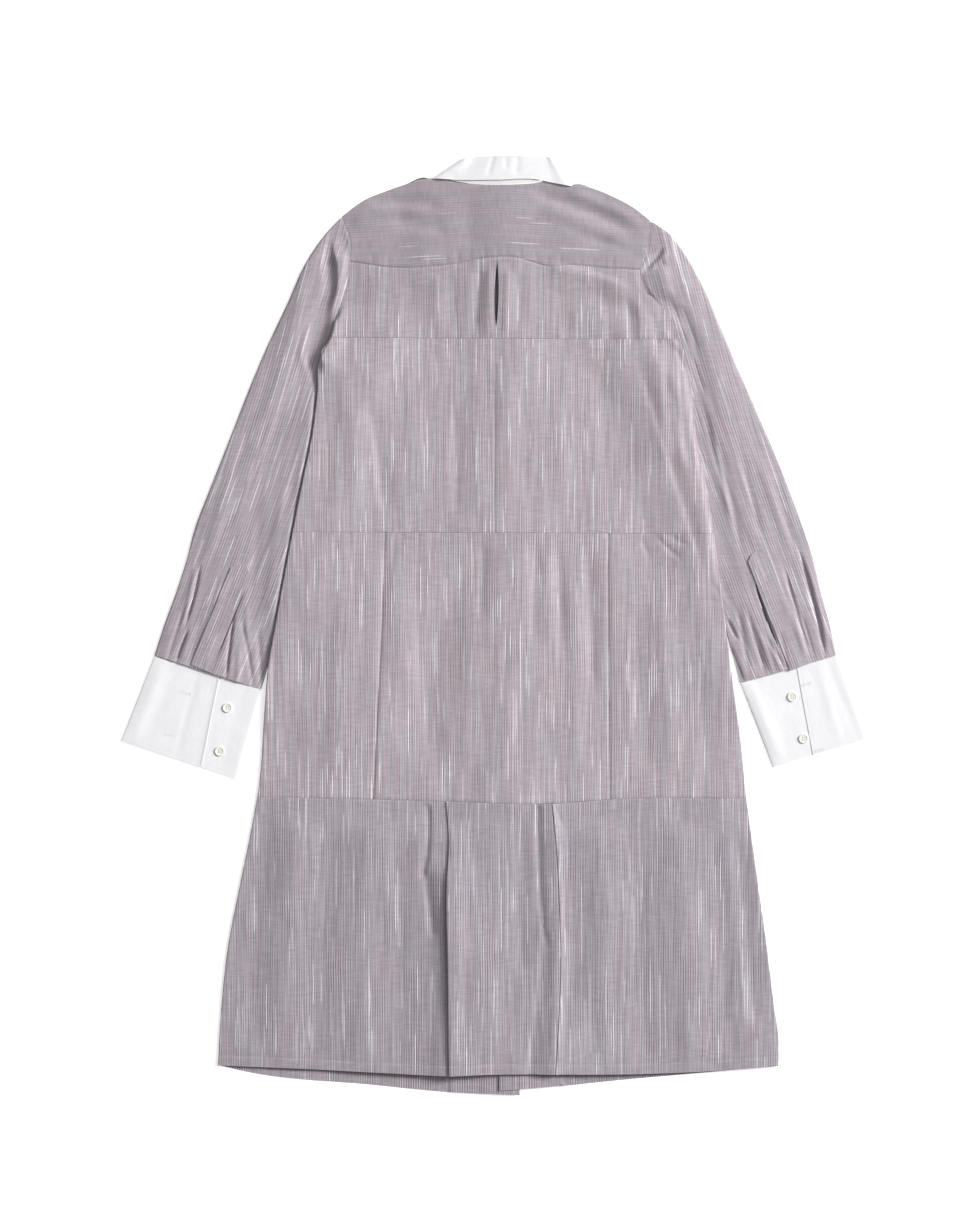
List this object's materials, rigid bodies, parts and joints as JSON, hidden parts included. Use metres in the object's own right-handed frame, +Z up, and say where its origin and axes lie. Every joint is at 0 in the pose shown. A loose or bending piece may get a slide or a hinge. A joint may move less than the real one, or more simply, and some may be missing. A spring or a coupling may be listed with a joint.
{
  "type": "shirt dress",
  "caption": "Knee-length striped shirt dress laid flat on its front, back up, with a white collar and cuffs, a yoke with a keyhole slit, and a pleated flounce.",
  "frame": {"origin": "middle of the dress's footprint on the surface it lies on", "axes": "+Z up, out of the surface; +Y from the hem towards the neck; +X towards the wearer's right sleeve as the back is seen from above"},
  "size_m": [0.8567, 1.0782, 0.0096],
  "materials": {
    "striped_cloth": "matt woven cotton with fine grey and white stripes",
    "white_cloth": "matt white poplin",
    "cream_button": "satin cream"
  },
  "bodies": {
    "root": {"yoke": "striped_cloth", "back_upper_left": "striped_cloth", "back_upper_right": "striped_cloth", "back_bodice_left": "striped_cloth", "back_bodice_right": "striped_cloth", "skirt_back_left": "striped_cloth", "skirt_back_centre": "striped_cloth", "skirt_back_right": "striped_cloth", "flounce_back": "striped_cloth", "front_left": "striped_cloth", "front_right": "striped_cloth", "front_flounce_left": "striped_cloth", "front_flounce_right": "striped_cloth", "sleeve_left": "striped_cloth", "sleeve_right": "striped_cloth", "sleeve_placket_left": "striped_cloth", "sleeve_placket_right": "striped_cloth", "cuff_left": "white_cloth", "cuff_right": "white_cloth", "collar_stand": "white_cloth", "collar_fall": "white_cloth", "cuff_button_left_upper": "cream_button", "cuff_button_left_lower": "cream_button", "cuff_button_right_upper": "cream_button", "cuff_button_right_lower": "cream_button", "front_button_1": "cream_button", "front_button_2": "cream_button", "front_button_3": "cream_button", "front_button_4": "cream_button", "front_button_5": "cream_button", "front_button_6": "cream_button", "front_button_7": "cream_button", "front_button_8": "cream_button", "collar_button": "cream_button"}
  },
  "joints": []
}
